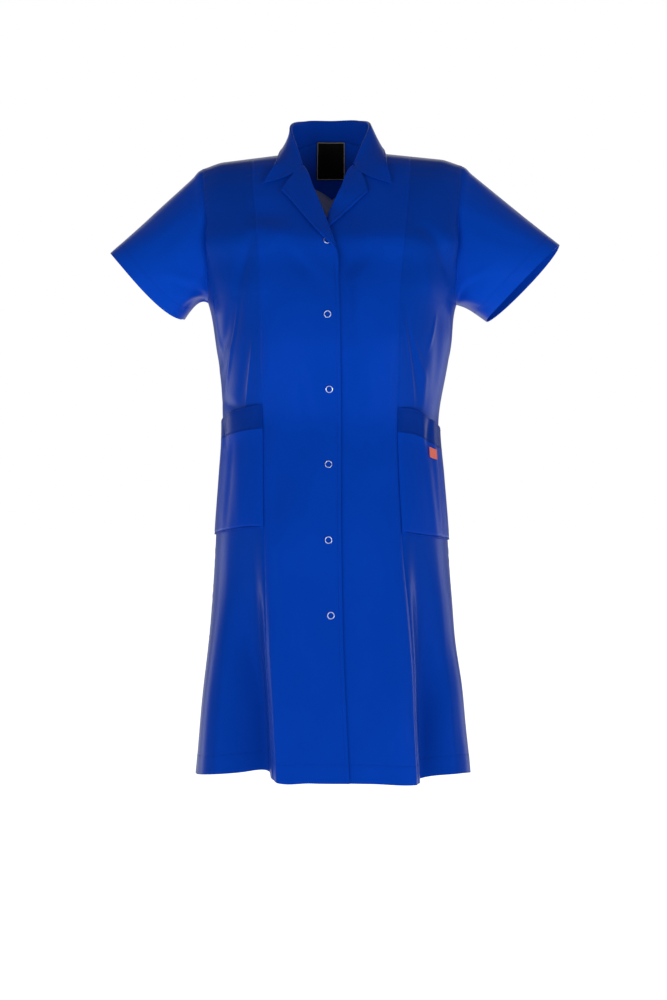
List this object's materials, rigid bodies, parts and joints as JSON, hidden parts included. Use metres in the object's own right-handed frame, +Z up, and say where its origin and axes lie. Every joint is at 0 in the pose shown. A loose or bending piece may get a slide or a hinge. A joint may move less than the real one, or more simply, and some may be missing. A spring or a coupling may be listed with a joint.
{
  "type": "women's short-sleeved work coat",
  "caption": "Knee-length short-sleeved work coat with notched lapels, princess seams, side pockets and a press-stud front, filled out as if worn.",
  "frame": {"origin": "midway between the two shoulder-neck points, where the wearer's shoulders and neck hold the coat, in the plane of the shoulder seams", "axes": "+Z up, -Y is the front of the coat, +X is the wearer's left"},
  "size_m": [0.6862, 0.3116, 1.0101],
  "materials": {
    "cloth": "royal blue poly-cotton twill",
    "label_cloth": "black woven label tape",
    "tab_cloth": "orange-red woven tape",
    "stud_metal": "bright nickel-plated ring"
  },
  "bodies": {
    "root": {"front_right": "cloth", "front_left": "cloth", "side_front_right": "cloth", "side_front_left": "cloth", "back": "cloth", "sleeve_right": "cloth", "sleeve_left": "cloth", "collar": "cloth", "lapel_right": "cloth", "lapel_left": "cloth", "back_facing": "cloth", "pocket_right": "cloth", "pocket_left": "cloth", "pocket_band_right": "cloth", "pocket_band_left": "cloth", "neck_label": "label_cloth", "pocket_tab": "tab_cloth", "stud_1": "stud_metal", "stud_2": "stud_metal", "stud_3": "stud_metal", "stud_4": "stud_metal", "stud_5": "stud_metal", "stud_6": "stud_metal"}
  },
  "joints": []
}
